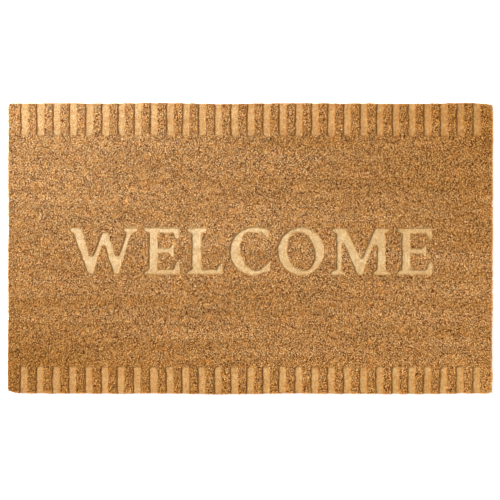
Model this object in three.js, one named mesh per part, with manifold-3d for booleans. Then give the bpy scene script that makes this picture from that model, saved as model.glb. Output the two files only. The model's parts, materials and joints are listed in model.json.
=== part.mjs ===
// A coir door mat, lying flat with its pile up.
//
// Coconut fibres stand upright in a flexible backing sheet and are sheared level. A heated
// plate then presses two rows of short grooves and a plain greeting into the pile, so that
// ribs of full-height pile stand between the grooves, and each letter is a pressed floor
// sunk in the field. Each zone of the pile is one solid of its own on the backing sheet.
//
// Millimetres. The origin is at the middle of the underside. +X runs along the long side,
// +Y away from the reader, so that the greeting reads from the front edge, and +Z is up.

import * as THREE from 'three';
import { mergeVertices } from 'three/addons/utils/BufferGeometryUtils.js';
import Module from 'manifold-3d';

const wasm = await Module();
wasm.setup();

// The whole mat.
const MAT_LENGTH = 762;
const MAT_WIDTH = 457;
const CORNER_RADIUS = 6;
const BACKING_THICKNESS = 3;
const PILE_TOP = 18;
const PRESSED_DEPTH = 5;
const JOINT_GAP = 0.3; // between neighbouring solids, and between the pile and its backing

// The grooves, which run in from the front and back edges and are open there.
const GROOVE_COUNT = 29;
const GROOVE_PITCH = 25.4;
const GROOVE_WIDTH = 12;
const BACK_GROOVE_LENGTH = 50;
const FRONT_GROOVE_LENGTH = 41;
const GROOVE_CORNER = 2.5;
const BORDER_SHOULDER = 8; // full-height pile that closes the inner ends of the grooves

// The greeting, in plain Roman capitals.
const CAP_HEIGHT = 73;
const BASELINE_Y = -41;
const THICK_STROKE = 15;
const THIN_STROKE = 6.8;
const ARM_WIDTH = 7.8; // of the level strokes of E and L
const SERIF_REACH = 8;
const SERIF_HEIGHT = 8;
const SERIF_TIP = 4.4;
const BEAK_LENGTH = 18; // the upright ends of the arms of E, L and C
const FLARE_REACH = 9.5; // of the end of a middle arm, above and below its middle line
const LETTER_GAP = 10.8;
const WORD_SHIFT = 0.5; // of the word to the right of the middle
const ROUND_OVERSHOOT = 1; // C and O reach this far past the cap line and the baseline
const STRESS_TILT = THREE.MathUtils.degToRad(14); // of the thin parts of C and O
const ROUND_POINTS = 40;

// Heights worked out from the above.
const PILE_BOTTOM = BACKING_THICKNESS + JOINT_GAP;
const PRESSED_TOP = PILE_TOP - PRESSED_DEPTH;
const OVERCUT = 2; // how far a cutting tool runs past a face

const coir = new THREE.MeshStandardMaterial({ color: 0xb3814e, roughness: 0.95, metalness: 0 });
const pressedCoir = new THREE.MeshStandardMaterial({ color: 0xe5b881, roughness: 0.8, metalness: 0 });
const backingVinyl = new THREE.MeshStandardMaterial({ color: 0x8a6a48, roughness: 0.7, metalness: 0 });

function solidOf(geometry) {
  geometry.deleteAttribute('normal');
  geometry.deleteAttribute('uv');
  const merged = mergeVertices(geometry, 1e-4);
  return new wasm.Manifold(
    new wasm.Mesh({
      numProp: 3,
      vertProperties: Float32Array.from(merged.attributes.position.array),
      triVerts: Uint32Array.from(merged.index.array),
    }),
  );
}

function prism(shape, bottom, top) {
  const geometry = new THREE.ExtrudeGeometry(shape, {
    depth: top - bottom,
    bevelEnabled: false,
    curveSegments: 3,
  });
  return solidOf(geometry.translate(0, 0, bottom));
}

function prisms(shapes, bottom, top) {
  return shapes
    .map((shape) => prism(shape, bottom, top))
    .reduce((whole, next) => whole.add(next));
}

function meshOf(name, solid, material) {
  const { vertProperties, triVerts } = solid.getMesh();
  const geometry = new THREE.BufferGeometry();
  geometry.setAttribute('position', new THREE.BufferAttribute(vertProperties, 3));
  geometry.setIndex(new THREE.BufferAttribute(triVerts, 1));
  geometry.computeVertexNormals();
  const mesh = new THREE.Mesh(geometry, material);
  mesh.name = name;
  return mesh;
}

// ---- Outlines ----

function roundedRectangle(left, front, right, back, radius) {
  const outline = new THREE.Shape();
  outline.moveTo(left + radius, front);
  outline.lineTo(right - radius, front);
  outline.absarc(right - radius, front + radius, radius, -Math.PI / 2, 0, false);
  outline.lineTo(right, back - radius);
  outline.absarc(right - radius, back - radius, radius, 0, Math.PI / 2, false);
  outline.lineTo(left + radius, back);
  outline.absarc(left + radius, back - radius, radius, Math.PI / 2, Math.PI, false);
  outline.lineTo(left, front + radius);
  outline.absarc(left + radius, front + radius, radius, Math.PI, 1.5 * Math.PI, false);
  return outline;
}

function matOutline() {
  const x = MAT_LENGTH / 2;
  const y = MAT_WIDTH / 2;
  return roundedRectangle(-x, -y, x, y, CORNER_RADIUS);
}

// The part of the mat's outline between two lines across it, as a solid.
function bandOfPile(front, back) {
  const reach = MAT_LENGTH / 2 + OVERCUT;
  const window = new THREE.Shape([
    new THREE.Vector2(-reach, front),
    new THREE.Vector2(reach, front),
    new THREE.Vector2(reach, back),
    new THREE.Vector2(-reach, back),
  ]);
  const pile = prism(matOutline(), PILE_BOTTOM, PILE_TOP);
  return pile.intersect(prism(window, PILE_BOTTOM - OVERCUT, PILE_TOP + OVERCUT));
}

// ---- Strokes of the letters ----
// A stroke is a function that gives its outline with every side moved out by `grow`.

// Moves each side of a convex outline, listed counter-clockwise, out by the same distance.
function movedOut(corners, grow) {
  return corners.map((corner, i) => {
    const before = corners.at(i - 1);
    const after = corners[(i + 1) % corners.length];
    const sideIn = corner.clone().sub(before).normalize();
    const sideOut = after.clone().sub(corner).normalize();
    const miter = new THREE.Vector2(sideIn.y + sideOut.y, -sideIn.x - sideOut.x);
    const reach = (2 * grow) / miter.lengthSq();
    return corner.clone().addScaledVector(miter, reach);
  });
}

function patch(...places) {
  const corners = places.map(([x, y]) => new THREE.Vector2(x, y));
  return (grow) => new THREE.Shape(movedOut(corners, grow));
}

// A straight stroke between two level cuts, each with its own middle and width.
function stroke(lowX, lowY, lowWidth, highX, highY, highWidth) {
  return patch(
    [lowX - lowWidth / 2, lowY],
    [lowX + lowWidth / 2, lowY],
    [highX + highWidth / 2, highY],
    [highX - highWidth / 2, highY],
  );
}

function stem(x, width) {
  return stroke(x, 0, width, x, CAP_HEIGHT, width);
}

function footSerif(x, width, leftReach = SERIF_REACH, rightReach = SERIF_REACH) {
  const [left, right] = [x - width / 2, x + width / 2];
  return patch(
    [left - leftReach, 0],
    [right + rightReach, 0],
    [right + rightReach, SERIF_TIP],
    [right, SERIF_HEIGHT],
    [left, SERIF_HEIGHT],
    [left - leftReach, SERIF_TIP],
  );
}

function headSerif(x, width, leftReach = SERIF_REACH, rightReach = SERIF_REACH) {
  const [left, right] = [x - width / 2, x + width / 2];
  return patch(
    [left, CAP_HEIGHT - SERIF_HEIGHT],
    [right, CAP_HEIGHT - SERIF_HEIGHT],
    [right + rightReach, CAP_HEIGHT - SERIF_TIP],
    [right + rightReach, CAP_HEIGHT],
    [left - leftReach, CAP_HEIGHT],
    [left - leftReach, CAP_HEIGHT - SERIF_TIP],
  );
}

function arm(left, right, middleY) {
  const x = (left + right) / 2;
  return stroke(x, middleY - ARM_WIDTH / 2, right - left, x, middleY + ARM_WIDTH / 2, right - left);
}

// The flared upright end of an arm. It leans out a little towards its tip.
function beak(right, rootY, tipY) {
  const root = { x: right - 0.95 * THIN_STROKE, width: 1.9 * THIN_STROKE };
  const tip = { x: right - 0.4 * THIN_STROKE, width: 0.8 * THIN_STROKE };
  if (tipY > rootY) {
    return stroke(root.x, rootY, root.width, tip.x, tipY, tip.width);
  }
  return stroke(tip.x, tipY, tip.width, root.x, rootY, root.width);
}

// The two short flares on the end of a middle arm, one above it and one below.
function flares(right, middleY) {
  const root = { x: right - 1.1 * THIN_STROKE, width: 2 * THIN_STROKE, y: THIN_STROKE / 2 };
  const tip = { x: right - 0.3 * THIN_STROKE, width: 0.5 * THIN_STROKE, y: FLARE_REACH };
  return [
    stroke(root.x, middleY - root.y, root.width, tip.x, middleY + tip.y, tip.width),
    stroke(tip.x, middleY - tip.y, tip.width, root.x, middleY + root.y, root.width),
  ];
}

function ellipsePoint(middle, radii, angle, tilt) {
  return new THREE.Vector2(radii.x * Math.cos(angle), radii.y * Math.sin(angle))
    .rotateAround(new THREE.Vector2(), tilt)
    .add(middle);
}

// A ring from one angle to another, thick at its sides and thin at its head and foot.
function bowl(middle, radii, thick, start, end) {
  return (grow) => {
    const outer = new THREE.Vector2(radii.x + grow, radii.y + grow);
    const inner = innerRadii(radii, thick, -grow);
    const swing = grow / radii.x;
    const steps = Math.ceil((ROUND_POINTS * (end - start)) / (2 * Math.PI));
    const points = [];
    for (let i = 0; i <= steps; i += 1) {
      const angle = start - swing + ((end - start + 2 * swing) * i) / steps;
      points.push(ellipsePoint(middle, outer, angle, 0));
    }
    for (let i = steps; i >= 0; i -= 1) {
      const angle = start - swing + ((end - start + 2 * swing) * i) / steps;
      points.push(ellipsePoint(middle, inner, angle - STRESS_TILT, STRESS_TILT));
    }
    return new THREE.Shape(points);
  };
}

function innerRadii(radii, thick, grow) {
  return new THREE.Vector2(radii.x - thick + grow, radii.y - THIN_STROKE + grow);
}

function disc(middle, radii, tilt) {
  const points = [];
  for (let i = 0; i < ROUND_POINTS; i += 1) {
    points.push(ellipsePoint(middle, radii, (2 * Math.PI * i) / ROUND_POINTS, tilt));
  }
  return new THREE.Shape(points);
}

// ---- Letters ----
// Each has its width and its strokes, measured from its own left end of the baseline.

function letterW() {
  const width = 106.5;
  const [fork, crotch, middleTop] = [29, 44, 66]; // heights where the strokes part and meet
  const lap = fork - 3;
  return {
    name: 'w',
    width,
    strokes: [
      stroke(33.3, 0, 7, 32, fork, 26.5),
      stroke(25.5, lap, 11.5, 10.6, CAP_HEIGHT, 16.2),
      stroke(40.3, lap, 8.4, 53.8, middleTop, 4.6),
      stroke(55.2, crotch, 23.6, 55.5, middleTop, 8.2),
      stroke(67, lap, 12.2, 55, middleTop, 9),
      stroke(73.9, 0, 7, 72.8, fork, 25.6),
      stroke(80.9, lap, 7.6, 95.7, CAP_HEIGHT, 7.8),
      headSerif(10.4, 16, 2, 2),
      headSerif(95, 8, 6, 8),
    ],
  };
}

function letterE() {
  const width = 56;
  const thick = 0.87 * THICK_STROKE;
  const x = SERIF_REACH + thick / 2;
  const headArm = CAP_HEIGHT - ARM_WIDTH / 2;
  const middleArm = 0.51 * CAP_HEIGHT;
  const middleEnd = 0.84 * width;
  return {
    name: 'e',
    width,
    strokes: [
      stem(x, thick),
      footSerif(x, thick),
      headSerif(x, thick),
      arm(x, width - THIN_STROKE, headArm),
      beak(width - 1, CAP_HEIGHT, CAP_HEIGHT - BEAK_LENGTH),
      arm(x, middleEnd - THIN_STROKE, middleArm),
      ...flares(middleEnd, middleArm),
      arm(x, width - THIN_STROKE, ARM_WIDTH / 2),
      beak(width, 0, BEAK_LENGTH + 2),
    ],
  };
}

function letterL() {
  const width = 57;
  const x = SERIF_REACH + THICK_STROKE / 2;
  return {
    name: 'l',
    width,
    strokes: [
      stem(x, THICK_STROKE),
      footSerif(x, THICK_STROKE),
      headSerif(x, THICK_STROKE),
      arm(x, width - THIN_STROKE, ARM_WIDTH / 2),
      beak(width, 0, BEAK_LENGTH),
    ],
  };
}

function roundLetterSize(width) {
  const radii = new THREE.Vector2(width / 2, CAP_HEIGHT / 2 + ROUND_OVERSHOOT);
  return { radii, middle: new THREE.Vector2(radii.x, CAP_HEIGHT / 2) };
}

function letterC() {
  const width = 64.5;
  const { radii, middle } = roundLetterSize(1.14 * width);
  const [upperEnd, lowerEnd] = [75, 305].map(THREE.MathUtils.degToRad);
  return {
    name: 'c',
    width,
    strokes: [
      bowl(middle, radii, 1.12 * THICK_STROKE, upperEnd, lowerEnd),
      patch([36, 66.5], [54, 65.5], [54, 72.4], [45, 73.8], [36, 74]),
      patch([49.5, 66.5], [58.5, 57], [62, 56.5], [62.5, 69.5], [52, 72.6]),
      patch([49, 9.5], [57, 4], [63, 6], [65, 21], [63, 21]),
    ],
  };
}

function letterO() {
  const width = 73.2;
  const { radii, middle } = roundLetterSize(width);
  return { name: 'o', width, ring: { radii, middle } };
}

function letterM() {
  const width = 92.8;
  const [leftStem, rightStem] = [12.8, 79];
  const fork = 25.5; // the height where the strokes of the middle part
  const lap = fork - 3;
  const thin = 1.1 * THIN_STROKE;
  const thick = 0.88 * THICK_STROKE;
  return {
    name: 'm',
    width,
    strokes: [
      stem(leftStem, thin),
      footSerif(leftStem, thin, 9, 5),
      headSerif(leftStem, thin + 2, 7, 2),
      stroke(45.9, 0, 8.2, 43.9, fork, 26.4),
      stroke(40, lap, 16, 16.2, CAP_HEIGHT, 12.4),
      stroke(51.9, lap, 7.8, 73.9, CAP_HEIGHT, 8.4),
      stroke(18.4, 48, 6, 15, 60, 6),
      stroke(69.4, 46.5, 7.6, 74, 66, 7),
      stem(rightStem, thick),
      footSerif(rightStem, thick, 6, 8),
      headSerif(rightStem, thick, 2, 6),
    ],
  };
}

// A letter as a solid between two heights, with its sides moved out by `grow`.
function letterSolid(letter, left, bottom, top, grow) {
  if (letter.ring) {
    const { middle, radii } = letter.ring;
    const outer = new THREE.Vector2(radii.x + grow, radii.y + grow);
    return prism(disc(middle, outer, 0), bottom, top).translate([left, BASELINE_Y, 0]);
  }
  const shapes = letter.strokes.map((outline) => outline(grow));
  return prisms(shapes, bottom, top).translate([left, BASELINE_Y, 0]);
}

function centreSolid(letter, left, bottom, top, grow) {
  const { middle, radii } = letter.ring;
  const outline = disc(middle, innerRadii(radii, THICK_STROKE, grow), STRESS_TILT);
  return prism(outline, bottom, top).translate([left, BASELINE_Y, 0]);
}

// ---- Pieces ----

function makeBackingSheet() {
  return meshOf('backing_sheet', prism(matOutline(), 0, BACKING_THICKNESS), backingVinyl);
}

// A border of pile along one long edge, with its grooves pressed in and the ribs left standing.
function makeRibbedBorder(name, edgeY, grooveLength) {
  const inward = -Math.sign(edgeY);
  const shoulderY = edgeY + inward * (grooveLength + BORDER_SHOULDER);
  const mouthY = edgeY - inward * (OVERCUT + GROOVE_CORNER);
  const endY = edgeY + inward * grooveLength;
  let border = bandOfPile(Math.min(edgeY, shoulderY), Math.max(edgeY, shoulderY));
  for (let i = 0; i < GROOVE_COUNT; i += 1) {
    const x = (i - (GROOVE_COUNT - 1) / 2) * GROOVE_PITCH;
    const groove = roundedRectangle(
      x - GROOVE_WIDTH / 2,
      Math.min(mouthY, endY),
      x + GROOVE_WIDTH / 2,
      Math.max(mouthY, endY),
      GROOVE_CORNER,
    );
    border = border.subtract(prism(groove, PRESSED_TOP, PILE_TOP + OVERCUT));
  }
  return meshOf(name, border, coir);
}

// The letters side by side, with the same gap between all of them.
function placedLetters() {
  const letters = [letterW(), letterE(), letterL(), letterC(), letterO(), letterM(), letterE()];
  const widths = letters.reduce((sum, letter) => sum + letter.width, 0);
  let left = WORD_SHIFT - (widths + (letters.length - 1) * LETTER_GAP) / 2;
  return letters.map((letter, i) => {
    const placed = { letter, left, name: `pressed_letter_${i + 1}_${letter.name}` };
    left += letter.width + LETTER_GAP;
    return placed;
  });
}

function makePileField(letters) {
  const front = -MAT_WIDTH / 2 + FRONT_GROOVE_LENGTH + BORDER_SHOULDER + JOINT_GAP;
  const back = MAT_WIDTH / 2 - BACK_GROOVE_LENGTH - BORDER_SHOULDER - JOINT_GAP;
  let field = bandOfPile(front, back);
  for (const { letter, left } of letters) {
    const opening = letterSolid(letter, left, PILE_BOTTOM - OVERCUT, PILE_TOP + OVERCUT, 0);
    field = field.subtract(opening);
  }
  return meshOf('pile_field', field, coir);
}

function makePressedLetter({ letter, left, name }) {
  let floor = letterSolid(letter, left, PILE_BOTTOM, PRESSED_TOP, -JOINT_GAP);
  if (letter.ring) {
    const [low, high] = [PILE_BOTTOM - OVERCUT, PRESSED_TOP + OVERCUT];
    floor = floor.subtract(centreSolid(letter, left, low, high, JOINT_GAP));
  }
  return meshOf(name, floor, pressedCoir);
}

// The pile left standing inside the ring of the O.
function makeLetterCentre({ letter, left }) {
  const centre = centreSolid(letter, left, PILE_BOTTOM, PILE_TOP, 0);
  return meshOf(`letter_${letter.name}_centre`, centre, coir);
}

// ---- The mat ----

const mat = new THREE.Group();
const letters = placedLetters();
mat.add(makeBackingSheet());
mat.add(makePileField(letters));
mat.add(makeRibbedBorder('back_ribbed_border', MAT_WIDTH / 2, BACK_GROOVE_LENGTH));
mat.add(makeRibbedBorder('front_ribbed_border', -MAT_WIDTH / 2, FRONT_GROOVE_LENGTH));
letters.forEach((placed) => mat.add(makePressedLetter(placed)));
letters.filter(({ letter }) => letter.ring).forEach((placed) => mat.add(makeLetterCentre(placed)));

export default mat;
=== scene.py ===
# %% [markdown]
# # A coir door mat
# This lesson builds an oblong door mat of coconut fibre. Thousands of stiff fibres stand upright
# in a flexible vinyl sheet and are sheared level. A hot plate then presses short grooves into the
# two long edges and a greeting into the middle, so that the pressed fibre lies flat, pale and
# smooth, below the rough pile round it.
#
# The frame holds the mat's plan: a backing sheet, a field of pile, two ribbed borders and one
# solid for each pressed letter. We read the plan from it and grow the real surface there: tufts
# of separate fibres on a packed bed, pressed floors with fibres ironed into them, and a backing
# sheet with a grain. Everything is in metres.

# %% Load the frame
import json
import math

import bpy
import numpy as np
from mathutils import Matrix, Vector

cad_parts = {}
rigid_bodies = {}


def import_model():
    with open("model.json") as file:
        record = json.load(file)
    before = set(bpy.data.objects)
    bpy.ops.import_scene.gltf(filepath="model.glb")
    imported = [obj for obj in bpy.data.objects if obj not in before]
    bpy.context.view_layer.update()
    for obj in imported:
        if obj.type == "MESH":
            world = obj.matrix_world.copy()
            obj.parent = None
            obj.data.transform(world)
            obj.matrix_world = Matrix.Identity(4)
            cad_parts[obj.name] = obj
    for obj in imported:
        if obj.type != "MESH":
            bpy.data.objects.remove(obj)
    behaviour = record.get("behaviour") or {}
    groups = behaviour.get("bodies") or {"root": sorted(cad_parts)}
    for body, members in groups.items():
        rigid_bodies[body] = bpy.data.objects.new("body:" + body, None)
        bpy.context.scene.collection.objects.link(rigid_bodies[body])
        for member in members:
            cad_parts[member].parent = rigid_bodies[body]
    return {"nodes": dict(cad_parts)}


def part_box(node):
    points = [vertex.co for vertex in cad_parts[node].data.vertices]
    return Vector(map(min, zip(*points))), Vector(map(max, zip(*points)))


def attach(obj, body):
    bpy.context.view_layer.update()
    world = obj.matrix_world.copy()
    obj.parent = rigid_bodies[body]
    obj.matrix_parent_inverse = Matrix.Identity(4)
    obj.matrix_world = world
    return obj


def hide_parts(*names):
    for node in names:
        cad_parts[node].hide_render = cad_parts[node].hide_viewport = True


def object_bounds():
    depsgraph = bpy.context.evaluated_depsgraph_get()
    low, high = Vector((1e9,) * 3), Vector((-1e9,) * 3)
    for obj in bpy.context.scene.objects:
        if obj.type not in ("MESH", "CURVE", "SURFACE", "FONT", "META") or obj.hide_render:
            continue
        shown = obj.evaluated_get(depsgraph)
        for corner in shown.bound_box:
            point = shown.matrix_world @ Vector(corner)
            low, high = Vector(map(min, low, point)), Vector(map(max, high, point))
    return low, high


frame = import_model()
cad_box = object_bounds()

mm = 0.001
mat_low, mat_high = cad_box
mat_length = mat_high.x - mat_low.x

# %% [markdown]
# ## The camera
# The mat is looked at from straight above. A long lens far away keeps the sides of the grooves
# from showing more at the ends of the mat than in its middle. We work out the distance from how
# much wider than the mat the view should be. The mat lies a little turned under the camera.

# %% Camera straight above the mat
view_width = 1.031 * mat_length
camera_turn = 0.1  # degrees
camera_forward = -2.7 * mm
camera_data = bpy.data.cameras.new("camera")
camera_data.lens = 100
camera_data.sensor_width = 36
camera_distance = view_width * camera_data.lens / camera_data.sensor_width
camera = bpy.data.objects.new("camera", camera_data)
camera.location = (0, camera_forward, mat_high.z + camera_distance)
camera.rotation_euler.z = math.radians(camera_turn)
bpy.context.scene.collection.objects.link(camera)
bpy.context.scene.camera = camera
print(f"The camera is {camera_distance:.2f} m above the pile")

# %% [markdown]
# ## Floor and light
# The floor is a plain white sheet on a dim light table, which clears the shadow beside the mat.
# About half of the light is an even sky, as in a white tent that glows more near the ground. One
# softbox on the left shows the relief: it leaves a thin shadow along the left wall of each
# groove. A lower softbox would make the shadows wide and hide the grooves' pale floors.

# %% White floor
def plain_material(name, colour, roughness):
    material = bpy.data.materials.new(name)
    material.use_nodes = True
    shader = material.node_tree.nodes["Principled BSDF"]
    shader.inputs["Base Color"].default_value = (*colour, 1)
    shader.inputs["Roughness"].default_value = roughness
    return material


floor_size = 12
floor_mesh = bpy.data.meshes.new("floor")
half = floor_size / 2
floor_mesh.from_pydata(
    [(-half, -half, 0), (half, -half, 0), (half, half, 0), (-half, half, 0)], [], [(0, 1, 2, 3)]
)
white_sheet = plain_material("white_sheet", (0.93, 0.93, 0.93), 0.9)
glow = white_sheet.node_tree.nodes["Principled BSDF"].inputs
glow["Emission Color"].default_value = (1, 1, 1, 1)
glow["Emission Strength"].default_value = 0.62
floor_mesh.materials.append(white_sheet)
floor = bpy.data.objects.new("floor", floor_mesh)
floor.location.z = -0.2 * mm
bpy.context.scene.collection.objects.link(floor)

# %% Even sky and one softbox
sky_strength = 0.55
softbox_power = 138
softbox_size = 0.7
softbox_place = (-1.45, 0.55, 2.35)

world = bpy.data.worlds.new("sky")
world.use_nodes = True
sky = world.node_tree.nodes["Background"]
direction = world.node_tree.nodes.new("ShaderNodeTexCoord")
height = world.node_tree.nodes.new("ShaderNodeSeparateXYZ")
fade = world.node_tree.nodes.new("ShaderNodeValToRGB")
world.node_tree.links.new(direction.outputs["Generated"], height.inputs["Vector"])
world.node_tree.links.new(height.outputs["Z"], fade.inputs["Fac"])
world.node_tree.links.new(fade.outputs["Color"], sky.inputs["Color"])
# The sky is white up to a few degrees above the ground and fades to its own strength above.
fade.color_ramp.elements[0].position = 0.06
fade.color_ramp.elements[0].color = (1, 1, 1, 1)
fade.color_ramp.elements[1].position = 0.3
fade.color_ramp.elements[1].color = (sky_strength, sky_strength, sky_strength, 1)
bpy.context.scene.world = world

softbox_data = bpy.data.lights.new("softbox", "AREA")
softbox_data.shape = "SQUARE"
softbox_data.size = softbox_size
softbox_data.energy = softbox_power
softbox = bpy.data.objects.new("softbox", softbox_data)
softbox.location = softbox_place
softbox.rotation_euler = softbox.location.to_track_quat("Z", "Y").to_euler()
bpy.context.scene.collection.objects.link(softbox)
bpy.context.scene.view_settings.view_transform = "Standard"
print(f"One softbox of {softbox_power} W, and a sky of {sky_strength}")

# %% [markdown]
# ## Reading the plate's pattern
# The hot plate's pattern is in the frame: the tops of the pressed letters, and the low faces of
# the two borders. We mark them on a fine grid laid over the mat. A grid is a good tool here,
# because it can be blurred, and a blurred edge is what a press leaves in springy fibre. Working
# with outlines instead would need rounded corners and offsets for each letter.

# %% A grid over the mat
cell = 0.5 * mm
margin = 8 * mm
xs = np.arange(mat_low.x - margin, mat_high.x + margin, cell)
ys = np.arange(mat_low.y - margin, mat_high.y + margin, cell)
print(f"The grid has {len(xs)} by {len(ys)} points")


def upward_faces(node):
    """The corners of a node's triangles that face up."""
    mesh = frame["nodes"][node].data
    mesh.calc_loop_triangles()
    places = np.zeros(3 * len(mesh.vertices), np.float32)
    mesh.vertices.foreach_get("co", places)
    corners = np.zeros(3 * len(mesh.loop_triangles), np.int32)
    mesh.loop_triangles.foreach_get("vertices", corners)
    faces = places.reshape(-1, 3)[corners.reshape(-1, 3)]
    normals = np.cross(faces[:, 1] - faces[:, 0], faces[:, 2] - faces[:, 0])
    return faces[normals[:, 2] > 0.9 * np.linalg.norm(normals, axis=1)]


def mark(faces, marked):
    """Sets the grid points that lie under these triangles."""
    for a, b, c in faces[:, :, :2]:
        low, high = np.min((a, b, c), axis=0), np.max((a, b, c), axis=0)
        i = slice(np.searchsorted(xs, low[0]), np.searchsorted(xs, high[0], "right"))
        j = slice(np.searchsorted(ys, low[1]), np.searchsorted(ys, high[1], "right"))
        x, y = np.meshgrid(xs[i], ys[j])
        sides = [
            (q[0] - p[0]) * (y - p[1]) - (q[1] - p[1]) * (x - p[0])
            for p, q in ((a, b), (b, c), (c, a))
        ]
        marked[j, i] |= np.min(sides, axis=0) >= 0


# %% Mark the pressed zones
letters = sorted(name for name in frame["nodes"] if name.startswith("pressed_letter_"))
borders = {"back": "back_ribbed_border", "front": "front_ribbed_border"}
pile_top = mat_high.z
pressed_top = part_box(letters[0])[1].z
backing_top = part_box("backing_sheet")[1].z

pressed = np.zeros((len(ys), len(xs)), bool)
letter_marks = {}
for name in letters:
    letter_marks[name] = np.zeros_like(pressed)
    mark(upward_faces(name), letter_marks[name])
    pressed |= letter_marks[name]
for name in borders.values():
    faces = upward_faces(name)
    mark(faces[faces[:, :, 2].max(axis=1) < pressed_top + mm], pressed)
print(f"{len(letters)} letters and the grooves cover {pressed.sum() * cell**2 * 1e4:.0f} cm2")

# %% Find the grooves and the ribs between them
def runs(row):
    """The (start, end) of each stretch of True in a row of the grid."""
    steps = np.flatnonzero(np.diff(np.concatenate(([0], row.astype(int), [0]))))
    return [(xs[a], xs[b - 1]) for a, b in steps.reshape(-1, 2)]


edge_y = {"back": mat_high.y, "front": mat_low.y}
grooves, groove_end = {}, {}
for side, y in edge_y.items():
    inward = -math.copysign(1, y)
    row = np.searchsorted(ys, y + 3 * mm * inward)
    grooves[side] = runs(pressed[row])
    middle = np.searchsorted(xs, np.mean(grooves[side][0]))
    column = pressed[:, middle] & (np.sign(ys) == np.sign(y))
    groove_end[side] = ys[column][np.argmax(inward * ys[column])]
    print(f"{side}: {len(grooves[side])} grooves, {abs(y - groove_end[side]) / mm:.0f} mm long")

# %% [markdown]
# ## Blur and clouds
# Two small tools do most of the shaping. `blur` softens a grid, with its own size in each
# direction. `cloud` is blurred random noise, scaled so that its usual size is one. The random
# numbers come from a seed, so that the mat is the same each time.

# %% Blur a grid, make a cloud, read a grid
def blur(field, size_x, size_y):
    wave_x = np.fft.rfftfreq(field.shape[1], cell) * size_x
    wave_y = np.fft.fftfreq(field.shape[0], cell) * size_y
    keep = np.exp(-2 * np.pi**2 * (wave_x[None, :] ** 2 + wave_y[:, None] ** 2))
    return np.fft.irfft2(np.fft.rfft2(field) * keep, field.shape)


def cloud(size_x, size_y, seed):
    noise = np.random.default_rng(seed).standard_normal((len(ys), len(xs)))
    soft = blur(noise, size_x, size_y)
    return (soft - soft.mean()) / soft.std()


def read(field, x, y):
    """A grid's value at any places, by straight lines between its points."""
    u = np.clip((x - xs[0]) / cell, 0, len(xs) - 1.001)
    v = np.clip((y - ys[0]) / cell, 0, len(ys) - 1.001)
    i, j = u.astype(int), v.astype(int)
    s, t = u - i, v - j
    low = field[j, i] * (1 - s) + field[j, i + 1] * s
    high = field[j + 1, i] * (1 - s) + field[j + 1, i + 1] * s
    return low * (1 - t) + high * t


def smooth_step(value, start, end):
    share = np.clip((value - start) / (end - start), 0, 1)
    return share * share * (3 - 2 * share)


# %% [markdown]
# ## The pressed relief
# The plate has square edges, but the fibre springs back a little at the rim, so a groove has
# sloping walls and soft, ragged corners. Blurring the marked zones by about a millimetre gives
# that, and a cloud that acts only on the rim makes it ragged. The plate runs past the edge of
# the mat, so the marks are first carried outwards over the margin.
#
# The right walls lean more than the left ones, and a groove runs out softly at its inner end.
# `trailing` makes such slopes: it spreads a mark to one side only, where a blur would spread it
# to both.

# %% How far each place is pressed down
wall_blur = 0.8 * mm
raggedness = 0.2
inside = (ys > mat_low.y + cell) & (ys < mat_high.y - cell)
first, last = np.flatnonzero(inside)[[0, -1]]
plate = pressed.astype(float)
plate[:first] = plate[first]
plate[last:] = plate[last]
soft_plate = blur(plate, wall_blur, wall_blur)
on_the_rim = 4 * soft_plate * (1 - soft_plate)
press = np.clip(soft_plate + raggedness * on_the_rim * cloud(2 * mm, 2 * mm, 11), 0, 1)
pressed_depth = pile_top - pressed_top


def trailing(field, cells, axis):
    """Each point's mean with the points before it, or after it if cells is negative."""
    steps = range(0, cells, 1 if cells > 0 else -1)
    return np.mean([np.roll(field, k, axis=axis) for k in steps], axis=0)


# %% Slopes at the right walls and at the grooves' inner ends
run_out_length = 4 * mm
run_out_cells = round(run_out_length / cell)
wall_cells = 3
in_back = ys[:, None] > groove_end["back"] - run_out_length
in_front = ys[:, None] < groove_end["front"] + run_out_length
run_out = np.where(in_back, trailing(press, -run_out_cells, 0), trailing(press, run_out_cells, 0))
with_run_out = np.maximum(press, run_out)
groove_slope = np.minimum(with_run_out, trailing(with_run_out, -wall_cells, 1))
letter_slope = np.maximum(press, trailing(press, wall_cells, 1))
slope = np.where(in_back | in_front, groove_slope, letter_slope)
# The strip along the foot of each left wall gets painted shadow, for the shadow that the wall casts
# in the softbox's light.
painted_shadow_gain = 2
painted_shadow_blur = 0.4 * mm
left_wall_painted_shadow = press - trailing(press, wall_cells, 1)
left_wall_painted_shadow = np.clip(painted_shadow_gain * blur(left_wall_painted_shadow, painted_shadow_blur, painted_shadow_blur), 0, 1)
print(f"The pressed floors lie {pressed_depth / mm:.1f} mm below the pile")

# %% [markdown]
# ## A hand-cut outline
# The sheet is cut by hand, so no edge is quite straight and the corners are a little round.
# One smooth drift of the whole plan, of about half a millimetre, gives backing, pile and plate
# marks the same uneven edge. It is weaker inside the mat, so that the letters keep their shape.
# Two corners are trimmed shorter than the others.

# %% The drift of the plan
slow_drift = 0.5 * mm
quick_drift = 0.2 * mm
drift_x = slow_drift * cloud(28 * mm, 28 * mm, 21) + quick_drift * cloud(4 * mm, 4 * mm, 22)
drift_y = slow_drift * cloud(28 * mm, 28 * mm, 23) + quick_drift * cloud(4 * mm, 4 * mm, 24)
drift_reach = 25 * mm
drift_inside = 0.25
trims = {(1, 1): 3.2 * mm, (-1, -1): 3.4 * mm, (-1, 1): 1.2 * mm, (1, -1): 0.8 * mm}
trim_reach = 14 * mm
trim_flatness = 0.6


def to_edge(x, y):
    return np.minimum(mat_high.x - np.abs(x), mat_high.y - np.abs(y))


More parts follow.
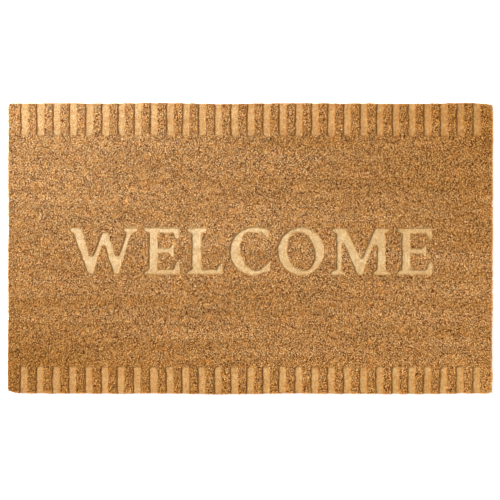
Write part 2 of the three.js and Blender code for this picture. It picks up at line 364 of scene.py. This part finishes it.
def drifted(points):
    """Points moved as the mat's plan has drifted, with the corners trimmed."""
    moved = points.copy()
    x, y = points[:, 0], points[:, 1]
    share = drift_inside + (1 - drift_inside) * np.exp(-np.maximum(to_edge(x, y), 0) / drift_reach)
    moved[:, 0] += share * read(drift_x, x, y)
    moved[:, 1] += share * read(drift_y, x, y)
    for (side_x, side_y), trim in trims.items():
        from_corner = np.hypot(x - side_x * mat_high.x, trim_flatness * (y - side_y * mat_high.y))
        moved[:, 1] -= side_y * trim * np.exp(-from_corner / trim_reach)
    return moved


# %% [markdown]
# ## Bales
# Fibre comes in bales that differ a little in colour, and it is laid down in long streaks. So the
# mat is lighter in one part and yellower in another, and faint streaks run along it. Two grids
# hold this: how light the fibre is, and how cool. A slow trend over the mat is a sum of a few
# terms, and two long clouds add the streaks. The borders are from another bale again.

# %% Bales of lighter and cooler fibre
across, along = np.meshgrid(xs / mat_high.x, ys / mat_high.y)
long_streaks = cloud(70 * mm, 4.5 * mm, 26)
short_streaks = cloud(22 * mm, 3 * mm, 27)
bale_light = 0.81 + 0.06 * across + 0.05 * along - 0.22 * across * along
bale_light -= 0.06 * across**2 + 0.09 * along**2
bale_light += 0.05 * long_streaks + 0.02 * short_streaks
bale_cool = 0.70 - 0.16 * across + 0.2 * along - 0.40 * across * along
bale_cool -= 0.16 * across**2 + 0.22 * along**2
bale_cool += 0.08 * long_streaks + 0.03 * short_streaks
in_border = smooth_step(np.abs(along), 0.76, 0.84)
bale_light += 0.04 * in_border * (1.8 + along)
bale_cool -= 0.16 * in_border
bale_light = np.clip(bale_light, 0, 1)
bale_cool = np.clip(bale_cool, 0, 1)
print(f"The bales' lightness runs from {bale_light.min():.2f} to {bale_light.max():.2f}")

# %% [markdown]
# ## Meshes from arrays
# A tuft has several fibres and the mat has tens of thousands of tufts, so we can't make them one
# by one. Instead we work out all their corners as arrays and hand these to a mesh at once. A part
# is (points, tones, polygons): where its corners are, how light each one is, and which corners
# each face has. The tones and the two grids of the bales become attributes of the mesh, which the
# materials read.

# %% Join parts and make a mesh
def joined(*parts):
    points, tones, polygons, count = [], [], [], 0
    for part_points, part_tones, part_polygons in parts:
        points.append(part_points)
        tones.append(part_tones)
        polygons += [p + count for p in part_polygons]
        count += len(part_points)
    return np.concatenate(points), np.concatenate(tones), polygons


def make_piece(name, part, material, smooth=True):
    points, tones, polygons = part
    sizes = np.concatenate([np.full(len(p), p.shape[1]) for p in polygons])
    corners = np.concatenate([p.ravel() for p in polygons])
    mesh = bpy.data.meshes.new(name)
    mesh.vertices.add(len(points))
    mesh.vertices.foreach_set("co", drifted(points).astype(np.float32).ravel())
    mesh.loops.add(len(corners))
    mesh.loops.foreach_set("vertex_index", corners.astype(np.int32))
    mesh.polygons.add(len(sizes))
    mesh.polygons.foreach_set("loop_start", (np.cumsum(sizes) - sizes).astype(np.int32))
    mesh.update(calc_edges=True)
    if smooth:
        mesh.shade_smooth()
    bale = read(bale_light, points[:, 0], points[:, 1])
    cool = read(bale_cool, points[:, 0], points[:, 1])
    for key, values in (("tone", tones), ("bale", bale), ("cool", cool)):
        attribute = mesh.attributes.new(key, "FLOAT", "POINT")
        attribute.data.foreach_set("value", values.astype(np.float32))
    mesh.materials.append(material)
    piece = bpy.data.objects.new(name, mesh)
    bpy.context.scene.collection.objects.link(piece)
    return piece


# %% [markdown]
# ## One fibre
# A coconut fibre is a stiff hair with a blunt cut end. Seen from above, most of what shows is
# that cut end and one flank. A prism with three sides is the least that has both, and at this
# size its corners don't show. Fibres that lie flat need more rings along them, so the function
# takes any number.

# %% Fibres as three-sided prisms
sides = 3


def fibres(paths, radii, tones, rng):
    """Prisms along paths (fibre, ring, xyz), with a radius and a tone for each ring."""
    count, rings = paths.shape[:2]
    axis = paths[:, -1] - paths[:, 0]
    axis /= np.linalg.norm(axis, axis=1, keepdims=True)
    level = np.where(np.abs(axis[:, 2:]) > 0.7, (1.0, 0, 0), (0, 0, 1.0))
    u = np.cross(level, axis)
    u /= np.linalg.norm(u, axis=1, keepdims=True)
    v = np.cross(axis, u)
    turn = rng.uniform(0, 2 * np.pi, (count, 1)) + np.arange(sides) * 2 * np.pi / sides
    ring = np.cos(turn)[..., None] * u[:, None] + np.sin(turn)[..., None] * v[:, None]
    points = paths[:, :, None] + radii[:, :, None, None] * ring[:, None]
    a = np.arange(sides)
    b = (a + 1) % sides
    side_faces = np.stack((a, b, b + sides, a + sides), axis=1)
    side_faces = side_faces[None] + sides * np.arange(rings - 1)[:, None, None]
    ends = np.stack((a[::-1], a + sides * (rings - 1)))
    first_corner = sides * rings * np.arange(count)[:, None, None]
    polygons = [
        (side_faces.reshape(1, -1, 4) + first_corner).reshape(-1, 4),
        (ends[None] + first_corner).reshape(-1, sides),
    ]
    return points.reshape(-1, 3), np.repeat(tones.ravel(), sides), polygons


# %% [markdown]
# ## A slab cut from the grid
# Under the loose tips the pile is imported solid, and the pressed floors are solid too. Both are
# slabs whose plan is a set of square cells and whose top follows a height. Voxel remeshing could
# make them, but it would round the thin strokes away, so we build the closed slab directly:
# a top, a bottom and a wall along each cell side that has no neighbour.

# %% Slabs of square cells
def slab(cells, x_corner, y_corner, step, top, bottom, tone):
    """cells is a grid of bool. top and tone are functions of x and y."""
    rows, columns = np.nonzero(cells)
    wide = cells.shape[1] + 1
    corner = rows * wide + columns
    quads = np.stack((corner, corner + 1, corner + wide + 1, corner + wide), axis=1)
    padded = np.pad(cells, 1)
    walls = []
    for (down, right), (p, q) in {
        (-1, 0): (0, 1), (0, 1): (1, 2), (1, 0): (2, 3), (0, -1): (3, 0),
    }.items():
        open_side = ~padded[rows + 1 + down, columns + 1 + right]
        walls.append(quads[open_side][:, [p, q]])
    walls = np.concatenate(walls)
    used, quads_used = np.unique(quads, return_inverse=True)
    quads = quads_used.reshape(quads.shape)
    walls = np.searchsorted(used, walls)
    x = x_corner + step * (used % wide)
    y = y_corner + step * (used // wide)
    upper = np.stack((x, y, top(x, y)), axis=1)
    lower = np.stack((x, y, np.full(len(x), bottom)), axis=1)
    count = len(used)
    wall_quads = np.stack(
        (walls[:, 0] + count, walls[:, 1] + count, walls[:, 1], walls[:, 0]), axis=1
    )
    light = tone(x, y)
    return (
        np.concatenate((upper, lower)),
        np.concatenate((light, light * 0.5)),
        [quads, quads[:, ::-1] + count, wall_quads],
    )


def slab_over(left, front, right, back, step, wanted, top, bottom, tone):
    """A slab of the cells in a box whose middles are wanted."""
    across = max(1, round((right - left) / step))
    along = max(1, round((back - front) / step))
    x = left + step * (np.arange(across) + 0.5)
    y = front + step * (np.arange(along) + 0.5)
    cells = wanted(*np.meshgrid(x, y))
    return slab(cells, left, front, step, top, bottom, tone)


# %% [markdown]
# ## Materials
# All the pile has one material, which reads each fibre's own tone and tints it by its bale. A
# fine noise makes each fibre grainy, and a stretched one greys it here and there, as wear does.
# Pressed fibre is the same stuff, ironed: paler, smoother and a little shiny. The numbers that
# are the same all over are set on the shader itself.

# %% Small helpers for node trees
def new_shader(name):
    material = bpy.data.materials.new(name)
    material.use_nodes = True
    return material, material.node_tree, material.node_tree.nodes["Principled BSDF"]


def add(tree, kind, settings=None, **values):
    """A node with some of its settings and unlinked inputs set. A node in values is linked."""
    node = tree.nodes.new(kind)
    for key, value in (settings or {}).items():
        setattr(node, key, value)
    for key, value in values.items():
        socket = node.inputs[key.replace("_", " ")]
        if isinstance(value, bpy.types.NodeSocket):
            tree.links.new(value, socket)
        else:
            socket.default_value = value
    return node


def stretched_noise(tree, scale, detail, **more):
    """Noise in the mat's own coordinates, with its own scale along each axis."""
    place = add(tree, "ShaderNodeTexCoord")
    mapping = add(tree, "ShaderNodeMapping", Vector=place.outputs["Object"], Scale=scale)
    noise = add(
        tree, "ShaderNodeTexNoise", Vector=mapping.outputs["Vector"], Scale=1.0, Detail=detail, **more
    )
    return noise.outputs["Fac"]


def ramp(tree, value, stops):
    node = add(tree, "ShaderNodeValToRGB", Fac=value)
    for i, (place, colour) in enumerate(stops):
        if i >= len(node.color_ramp.elements):
            node.color_ramp.elements.new(place)
        node.color_ramp.elements[i].position = place
        node.color_ramp.elements[i].color = (*colour, 1)
    return node.outputs["Color"]


def grey(value):
    return (value, value, value)


def tinted(tree, colour, tint):
    node = add(tree, "ShaderNodeMix", {"data_type": "RGBA", "blend_type": "MULTIPLY"})
    node.inputs[0].default_value = 1
    tree.links.new(colour, node.inputs[6])
    tree.links.new(tint, node.inputs[7])
    return node.outputs[2]


def bump(tree, height, depth):
    node = add(tree, "ShaderNodeBump", Height=height, Distance=depth, Strength=1.0)
    return node.outputs["Normal"]


def rough_between(tree, value, low, high):
    node = add(tree, "ShaderNodeMapRange", Value=value)
    node.inputs["To Min"].default_value = low
    node.inputs["To Max"].default_value = high
    return node.outputs["Result"]


def bale_colour(tree):
    """How light and how yellow the bale is that a fibre came from."""
    bale = add(tree, "ShaderNodeAttribute", {"attribute_name": "bale"}).outputs["Fac"]
    cool = add(tree, "ShaderNodeAttribute", {"attribute_name": "cool"}).outputs["Fac"]
    light = ramp(tree, bale, [(0.0, grey(0.5)), (1.0, grey(1.0))])
    hue = ramp(tree, cool, [(0.0, (1.0, 0.80, 0.45)), (1.0, grey(1.0))])
    return tinted(tree, light, hue)


# %% Coir fibre
def coir_material():
    material, tree, shader = new_shader("coir_fibre")
    tone = add(tree, "ShaderNodeAttribute", {"attribute_name": "tone"}).outputs["Fac"]
    own = ramp(tree, tone, [
        (0.0, (0.155, 0.050, 0.010)),
        (0.25, (0.43, 0.195, 0.046)),
        (0.5, (0.84, 0.485, 0.176)),
        (0.75, (1.0, 0.675, 0.305)),
        (1.0, (1.0, 0.77, 0.42)),
    ])
    origin = bale_colour(tree)
    grey_streaks = stretched_noise(tree, (5, 55, 1), 3)
    weathered = ramp(tree, grey_streaks, [(0.56, grey(1.0)), (0.72, (0.88, 0.87, 0.90))])
    colour = tinted(tree, tinted(tree, own, origin), weathered)
    tree.links.new(colour, shader.inputs["Base Color"])
    grain = stretched_noise(tree, (900, 900, 250), 2)
    tree.links.new(rough_between(tree, grain, 0.62, 0.9), shader.inputs["Roughness"])
    tree.links.new(bump(tree, grain, 0.15 * mm), shader.inputs["Normal"])
    shader.inputs["Specular IOR Level"].default_value = 0.12
    return material


coir = coir_material()

# %% Pressed coir
def pressed_material():
    material, tree, shader = new_shader("pressed_coir")
    tone = add(tree, "ShaderNodeAttribute", {"attribute_name": "tone"}).outputs["Fac"]
    # The low end of this ramp gives the warm brown of the painted shadow along the left walls.
    own = ramp(tree, tone, [
        (0.0, (0.31, 0.125, 0.018)),
        (0.25, (0.42, 0.235, 0.066)),
        (0.5, (0.545, 0.415, 0.23)),
        (1.0, (0.72, 0.58, 0.37)),
    ])
    ironed = stretched_noise(tree, (650, 650, 650), 4)
    pores = ramp(tree, ironed, [(0.34, (0.62, 0.50, 0.36)), (0.52, grey(1.0))])
    scorch = ramp(tree, stretched_noise(tree, (60, 60, 60), 3), [
        (0.3, (0.94, 0.90, 0.85)), (0.6, grey(1.0)),
    ])
    colour = tinted(tree, tinted(tree, tinted(tree, own, pores), scorch), bale_colour(tree))
    tree.links.new(colour, shader.inputs["Base Color"])
    tree.links.new(rough_between(tree, ironed, 0.72, 0.45), shader.inputs["Roughness"])
    tree.links.new(bump(tree, ironed, 0.6 * mm), shader.inputs["Normal"])
    shader.inputs["Specular IOR Level"].default_value = 0.4
    return material


pressed_coir = pressed_material()

# %% Vinyl backing
def backing_material():
    material, tree, shader = new_shader("backing_vinyl")
    place = add(tree, "ShaderNodeTexCoord").outputs["Object"]
    cells = add(tree, "ShaderNodeTexVoronoi", Vector=place, Scale=700.0)
    mottle = stretched_noise(tree, (60, 60, 60), 4)
    colour = ramp(tree, mottle, [(0.3, (0.16, 0.095, 0.05)), (0.7, (0.27, 0.17, 0.095))])
    shade = ramp(tree, cells.outputs["Distance"], [(0.0, grey(1.0)), (0.6, grey(0.8))])
    tree.links.new(tinted(tree, colour, shade), shader.inputs["Base Color"])
    tree.links.new(rough_between(tree, mottle, 0.45, 0.65), shader.inputs["Roughness"])
    grain = bump(tree, cells.outputs["Distance"], 0.25 * mm)
    tree.links.new(grain, shader.inputs["Normal"])
    return material


backing_vinyl = backing_material()

# %% [markdown]
# ## The backing sheet
# The fibres are rooted in a sheet of soft vinyl, three millimetres thick, that is poured on a
# belt and cut to size. Its edge is a cut one with a slight round. It is one outline run round
# the mat at a few heights, closed by a face above and below. A flat box with a bevel would come
# close, but its long edges have no points in between that could follow the drift.

# %% Backing sheet
corner_radius = 6 * mm
corner_points = 7


def rounded_outline(inset, step):
    """Points round the mat's outline, counter-clockwise, moved in by inset."""
    radius = corner_radius - inset
    reach_x = mat_high.x - inset - radius
    reach_y = mat_high.y - inset - radius
    places = []
    for quarter, (side_x, side_y) in enumerate(((1, 1), (-1, 1), (-1, -1), (1, -1))):
        for share in np.linspace(0, 1, corner_points):
            angle = (quarter + share) * math.pi / 2
            centre = np.array((side_x * reach_x, side_y * reach_y))
            places.append(centre + radius * np.array((math.cos(angle), math.sin(angle))))
    places = np.array(places + places[:1])
    lengths = np.linalg.norm(np.diff(places, axis=0), axis=1)
    walked = np.concatenate(([0], np.cumsum(lengths)))
    stops = np.linspace(0, walked[-1], round(walked[-1] / step), endpoint=False)
    return np.stack([np.interp(stops, walked, places[:, k]) for k in (0, 1)], axis=1)


backing_step = 3 * mm
backing_profile = [(0.5, 0), (0.1, 0.3), (0, 1.0), (0, 2.2), (0.15, 2.8), (0.5, 3.0)]


def make_backing():
    """Rings of points at each (inset, height) of the profile, in millimetres, joined by walls."""
    levels = []
    for inset, height in backing_profile:
        plan = rounded_outline(inset * mm, backing_step)
        levels.append(np.column_stack((plan, np.full(len(plan), height * mm))))
    count = min(len(level) for level in levels)
    points = np.concatenate([level[:count] for level in levels])
    around = np.arange(count)
    after = (around + 1) % count
    walls = [
        np.stack((around, after, after + count, around + count), axis=1) + k * count
        for k in range(len(levels) - 1)
    ]
    lid = (around + (len(levels) - 1) * count)[None]
    part = (points, np.full(len(points), 0.5), [np.concatenate(walls), around[::-1][None], lid])
    return make_piece("backing_sheet_vinyl", part, backing_vinyl, smooth=False)


backing = make_backing()
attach(backing, "root")
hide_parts("backing_sheet")

# %% [markdown]
# ## Tufts
# Coir is planted in tufts. We give each tuft three thick fibres, which from above looks like the
# five or six thin ones of a real tuft. The fibres of a tuft lean together, with dark gaps between
# the tufts. Each tuft gets its own height, lean and tone, and its fibres differ from it.
#
# The pile looks grainy and yet even from afar. If each fibre drew its tone alone, some places
# would get many dark ones by chance and the pile would look blotchy. So every tuft has one dark,
# one middling and one light fibre, in a random order.

# %% The lie of the pile
tuft_spacing = 1.85 * mm
fibres_per_tuft = 3
missing_share = 0.06
planting_jitter = 0.35
root_scatter = 0.32
gather_share = 0.1
tuft_shades = (-0.56, 0, 0.56)
middle_tone = 0.56
# Each fibre is darker at its root, painted shade where the tufts shade each other, and a little
# lighter at its tip.
root_shade_and_tip_tone = (-0.2, 0.05)
mean_lean = (0.02, -0.04)
tuft_lean_spread = (0.10, 0.20)
fibre_lean_spread = (0.10, 0.13)
tuft_height_spread = 0.2 * mm
fibre_height_spread = 0.6 * mm
tuft_tone_spread = 0.02
fibre_tone_spread = 0.16
fibre_length = 6 * mm
fibre_radius = 0.42 * mm
thickness_spread = 0.25
lean_x = cloud(3 * mm, 3 * mm, 31)
lean_y = cloud(3 * mm, 3 * mm, 32)
lean_cloud_share = 0.03
hills = cloud(9 * mm, 5 * mm, 33)
hill_height = 0.12 * mm
bank_start, bank_end = 0.1, 0.9  # the slope at which a bank begins to sink, and has sunk
pressed_limits = (0.25, 0.7)  # a fibre stands up to a slope that is drawn from between these
pile_trim = 0.3 * mm
tip_taper = 0.85
edge_slope = 0.12
edge_slope_reach = 3 * mm
edge_margin = 0.3 * mm
edge_reach = np.array((mat_high.x, mat_high.y)) + 0.2 * mm


def pile_height(x, y):
    """The height that the shears and the plate leave, without the tufts' own differences."""
    sunk = pressed_depth * smooth_step(read(slope, x, y), bank_start, bank_end)
    return pile_top - pile_trim - sunk + hill_height * read(hills, x, y)


def tufts(left, front, right, back, seed, spacing=tuft_spacing):
    """Tufts of fibres planted over a box, left out where the plate has pressed."""
    rng = np.random.default_rng(seed)
    across = max(1, round((right - left) / spacing))
    along = max(1, round((back - front) / spacing))
    x, y = np.meshgrid(
        left + (np.arange(across) + 0.5) * (right - left) / across,
        front + (np.arange(along) + 0.5) * (back - front) / along,
    )
    tuft = np.column_stack((x.ravel(), y.ravel()))
    tuft += rng.uniform(-planting_jitter, planting_jitter, tuft.shape) * spacing
    count = len(tuft)
    lean = np.column_stack((read(lean_x, *tuft.T), read(lean_y, *tuft.T))) * lean_cloud_share
    lean += rng.normal(mean_lean, tuft_lean_spread, (count, 2))
    height = rng.normal(0, tuft_height_spread, count)
    tone = rng.normal(0, tuft_tone_spread, count)
    which = np.repeat(np.flatnonzero(rng.random(count) > missing_share), fibres_per_tuft)
    shades = np.tile(tuft_shades, (len(which) // fibres_per_tuft, 1))
    shades = rng.permuted(shades, axis=1).ravel()
    root = tuft[which] + rng.normal(0, root_scatter * spacing, (len(which), 2))
    gather = gather_share * (tuft[which] - root)
    fibre_lean = lean[which] + rng.normal(0, fibre_lean_spread, root.shape)
    tip = root + gather + fibre_length * fibre_lean
    pressed_share = np.maximum(read(slope, *root.T), read(slope, *tip.T))
    standing = pressed_share < rng.uniform(*pressed_limits, len(which))
    kept = standing & (to_edge(*root.T) > edge_margin)
    which, root, tip, shades = which[kept], root[kept], tip[kept], shades[kept]
    top = pile_height(*root.T) + height[which] + rng.normal(0, fibre_height_spread, len(which))
    outwards = edge_slope * np.exp(-to_edge(*root.T) / edge_slope_reach) * fibre_length
    nearer_side = mat_high.x - np.abs(root[:, 0]) < mat_high.y - np.abs(root[:, 1])
    tip[:, 0] += np.where(nearer_side, np.sign(root[:, 0]) * outwards, 0)
    tip[:, 1] += np.where(nearer_side, 0, np.sign(root[:, 1]) * outwards)
    tip = np.clip(tip, -edge_reach, edge_reach)
    paths = np.stack((
        np.column_stack((root, top - fibre_length)),
        np.column_stack((tip, top)),
    ), axis=1)
    thick = fibre_radius * rng.lognormal(0, thickness_spread, len(which))
    radii = thick[:, None] * np.array((1.0, tip_taper))
    own = middle_tone + tone[which] + shades + rng.normal(0, fibre_tone_spread, len(which))
    # The roots get painted shade; the tips are a little lighter.
    tones = own[:, None] + np.array(root_shade_and_tip_tone)
    return fibres(paths, radii, np.clip(tones, 0, 1), rng)


# %% [markdown]
# ## The imported bed
# Between the tufts one looks down on more fibre, packed and deep in shade. A bed with a rough top
# at the tufts' roots stands for it, and its dark tone is painted shade. It dips under the pressed
# zones, whose own floors cover it. The bed is what shows in the gaps, so its tone sets how deep the
# pile looks.

# %% Bed under the tufts
bed_step = 1.5 * mm
bed_depth = 3.3 * mm
# The bed's dark tone is painted shade, for the shade deep between the tufts.
bed_shade_tone = 0.11
bed_inset = 1.2 * mm
joint = 0.05 * mm
bed_rough = cloud(1.2 * mm, 1.2 * mm, 41)
bed_tone = cloud(1.6 * mm, 1.6 * mm, 42)
bed_roughness = 0.7 * mm
bed_tone_spread = 0.1


def bed_height(x, y):
    rough = bed_roughness * read(bed_rough, x, y)
    return np.minimum(pile_height(x, y) - bed_depth, pile_top - bed_depth) + rough


def bed_light(x, y):
    return np.clip(bed_shade_tone + bed_tone_spread * read(bed_tone, x, y), 0, 1)


def bed(left, front, right, back):
    def in_mat(x, y):
        return to_edge(x, y) > bed_inset

    return slab_over(
        left, front, right, back, bed_step, in_mat, bed_height, backing_top + joint, bed_light
    )


def planted(name, left, front, right, back, seed, node):
    """A piece of full-height pile over a box: its bed, and the tufts on it."""
    part = joined(bed(left, front, right, back), tufts(left, front, right, back, seed))
    piece = make_piece(name, part, coir)
    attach(piece, "root")
    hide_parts(node)
    return piece


# %% [markdown]
# ## The pile field
# The field is planted in bands that run the length of the mat, as a machine lays them down. One
# piece for the whole field would be too heavy to handle, and bands can be looked at one by one.

# %% Bands of the field
band_count = 16
field_front = groove_end["front"]
field_back = groove_end["back"]
band_width = (field_back - field_front) / band_count
faces = 0
for k in range(band_count):
    front = field_front + k * band_width
    back = front + band_width
    name = f"pile_band_{k + 1:02d}"
    band = planted(name, mat_low.x, front, mat_high.x, back, 100 + k, "pile_field")
    faces += len(band.data.polygons)
print(f"{band_count} bands, {faces} faces")

# %% [markdown]
# ## The ribs
# Between the grooves, and outside the first and last, ribs of full-height pile are left standing.
# Each is planted by the same function over its own box.

# %% Ribs of both borders
rib_count = 0
for side, spans in grooves.items():
    starts = [mat_low.x] + [right for left, right in spans]
    ends = [left for left, right in spans] + [mat_high.x]
    front, back = sorted((edge_y[side], groove_end[side]))
    for k, (left, right) in enumerate(zip(starts, ends)):
        seed = 200 + rib_count
        planted(f"{side}_rib_{k + 1:02d}", left, front, right, back, seed, borders[side])
        rib_count += 1
print(f"{rib_count} ribs")

# %% [markdown]
# ## Pressed floors
# A pressed floor is a slab of the plate's own shape, a little larger so that the tufts round it
# hide its edge. Its top is nearly smooth, and it climbs a little under the rim. Hairs lie ironed
# into it in all directions. The plate was hotter over the letters, so their floors are paler than
# the grooves'. Where the floor climbs the walls it is darker, partly from less pressed fibre and
# partly from painted shade. Along the foot of a left wall it has a painted shadow, where the wall
# cuts off the softbox's light.

# %% Slabs and ironed hairs for the pressed zones
floor_waves = cloud(2.2 * mm, 2.2 * mm, 51)
floor_tone = cloud(0.8 * mm, 0.8 * mm, 52)
floor_wave_height = 0.12 * mm
floor_tone_spread = 0.07
floor_sag = 0.25 * mm
rim_drop = 1.2 * mm
border_reach = 60 * mm
letter_tone, back_groove_tone, front_groove_tone = 0.455, 0.27, 0.33
# How much the floor darkens where it climbs the walls: partly the less pressed fibre there, partly
# painted shade.
rim_tone_and_painted_shade = 0.18
# How much the painted shadow darkens the floor along the foot of each left wall.
painted_shadow_darkening = 0.4
hair_radius = 0.2 * mm
hairs_per_area = 0.16 / mm**2
hair_lengths = (3, 9)  # mm
hair_bend_spread = 0.25
hair_arch = np.array((-0.9, 0.35, 0.35, -0.9))  # in hair radii, from one end to the other
hair_tones = (0.3, 0.95)
rim_start, rim_end = 0.2, 1


def floor_height(x, y):
    risen = 1 - smooth_step(read(slope, x, y), bank_start, bank_end)
    climb = (pressed_depth - rim_drop) * risen
    return pressed_top - floor_sag + climb + floor_wave_height * read(floor_waves, x, y)


def floor_light(x, y):
    risen = 1 - smooth_step(read(slope, x, y), rim_start, rim_end)
    groove_tone = np.where(y > 0, back_groove_tone, front_groove_tone)
    level = np.where(to_edge(x, y) < border_reach, groove_tone, letter_tone)
    # Painted shade where the floor climbs the walls, and painted shadow along the foot of each left
    # wall.
    light = level - rim_tone_and_painted_shade * risen - painted_shadow_darkening * read(left_wall_painted_shadow, x, y)
    return np.clip(light + floor_tone_spread * read(floor_tone, x, y), 0, 1)


def ironed_hairs(left, front, right, back, seed, wanted):
    """Hairs that lie in a floor wherever all of a hair is on a wanted place."""
    rng = np.random.default_rng(seed)
    count = round(hairs_per_area * (right - left) * (back - front))
    start = rng.uniform((left, front), (right, back), (count, 2))
    angle = rng.uniform(0, 2 * np.pi, count)
    length = rng.uniform(*hair_lengths, count) * mm
    bend = rng.normal(0, hair_bend_spread, count)
    steps = np.linspace(0, 1, len(hair_arch))
    turned = angle[:, None] + bend[:, None] * steps
    x = start[:, :1] + length[:, None] * steps * np.cos(turned)
    y = start[:, 1:] + length[:, None] * steps * np.sin(turned)
    kept = wanted(x, y).all(axis=1)
    x, y = x[kept], y[kept]
    arch = hair_arch * hair_radius
    paths = np.stack((x, y, floor_height(x, y) + arch), axis=2)
    radii = np.full(x.shape, hair_radius)
    tones = np.broadcast_to(rng.uniform(*hair_tones, (len(x), 1)), x.shape)
    return fibres(paths, radii, tones, rng)


def pressed_floor(name, left, front, right, back, step, wanted, seed, node):
    base = slab_over(
        left, front, right, back, step, wanted, floor_height, backing_top + joint, floor_light
    )
    hairs = ironed_hairs(left, front, right, back, seed, wanted)
    piece = make_piece(name, joined(base, hairs), pressed_coir)
    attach(piece, "root")
    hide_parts(node)
    return piece


# %% Floors of the grooves
overlap = 4.5 * mm
floor_step = 0.8 * mm
least_slope = 0.06
floor_inset = 0.4 * mm
floor_count = 0


def in_groove(x, y):
    return (to_edge(x, y) > floor_inset) & (read(slope, x, y) > least_slope)


for side, spans in grooves.items():
    front, back = sorted((edge_y[side], groove_end[side] - math.copysign(overlap, edge_y[side])))
    for k, (left, right) in enumerate(spans):
        pressed_floor(
            f"{side}_groove_floor_{k + 1:02d}", left - overlap, front, right + overlap, back,
            floor_step, in_groove, 300 + floor_count, borders[side],
        )
        floor_count += 1
print(f"{floor_count} groove floors")

# %% Floors of the letters
for k, name in enumerate(letters):
    low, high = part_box(name)
    near = blur(letter_marks[name].astype(float), 2 * mm, 2 * mm)

    def in_letter(x, y):
        return (read(slope, x, y) > least_slope) & (read(near, x, y) > 0.01)

    pressed_floor(
        name.replace("pressed_letter", "letter_floor"), low.x - overlap, low.y - overlap,
        high.x + overlap, high.y + overlap, floor_step, in_letter, 400 + k, name,
    )
print(f"{len(letters)} letter floors")

# %% [markdown]
# ## The centre of the O
# Inside the ring of the O a patch of full-height pile is left standing. The bands that run under
# the word have grown it already, so there is nothing more to plant. We only say which bands stand
# for it: the ones that cross its box.

# %% Say what stands for the centre of the O
centre_low, centre_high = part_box("letter_o_centre")
for k in range(band_count):
    front = field_front + k * band_width
    if front < centre_high.y and front + band_width > centre_low.y:
        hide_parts("letter_o_centre")
        print(f"pile_band_{k + 1:02d} holds part of the centre of the O")

# %% [markdown]
# ## The cut edge
# All round, the edge of the mat shows fibres at their full length, cut off square. Three rings of
# them hide the side of the bed and give the mat a slightly hairy outline.

# %% Fibres along the edge
ring_insets = (0.4 * mm, 1.0 * mm, 1.6 * mm)
ring_step = 0.62 * mm
ring_drop = 0.4 * mm
tip_reach = 0.3 * mm
edge_root_spread = 0.2 * mm
edge_tip_spread = 0.35 * mm
edge_height_spread = 0.4 * mm
edge_radius = 0.4 * mm
edge_thickness_spread = 0.2
edge_taper = (1, 0.9)
edge_tone, edge_tone_spread = 0.42, 0.14
# The edge fibres are darker at the root, low on the mat's side: painted shade. Their tips are a
# little lighter.
edge_root_shade_and_tip_tone = (-0.15, 0.08)


def edge_fibres():
    rng = np.random.default_rng(500)
    parts = []
    for inset in ring_insets:
        plan = rounded_outline(inset, ring_step)
        plan = plan + rng.normal(0, edge_root_spread, plan.shape)
        x, y = plan.T
        top = np.where(read(press, x, y) > 0.5, floor_height(x, y), pile_height(x, y))
        top = top + rng.normal(0, edge_height_spread, len(x)) - ring_drop
        out = plan / np.linalg.norm(plan, axis=1, keepdims=True)
        tip = plan + tip_reach * out + rng.normal(0, edge_tip_spread, plan.shape)
        paths = np.stack((
            np.column_stack((plan, np.full(len(x), backing_top + joint))),
            np.column_stack((tip, top)),
        ), axis=1)
        thick = edge_radius * rng.lognormal(0, edge_thickness_spread, len(x))
        own = np.clip(rng.normal(edge_tone, edge_tone_spread, len(x)), 0, 1)
        # Painted shade at the roots.
        tones = own[:, None] + np.array(edge_root_shade_and_tip_tone)
        parts.append(fibres(paths, thick[:, None] * np.array(edge_taper), tones, rng))
    return joined(*parts)


edge = make_piece("edge_fibres", edge_fibres(), coir)
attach(edge, "root")
print(f"{len(edge.data.polygons)} faces in the edge")
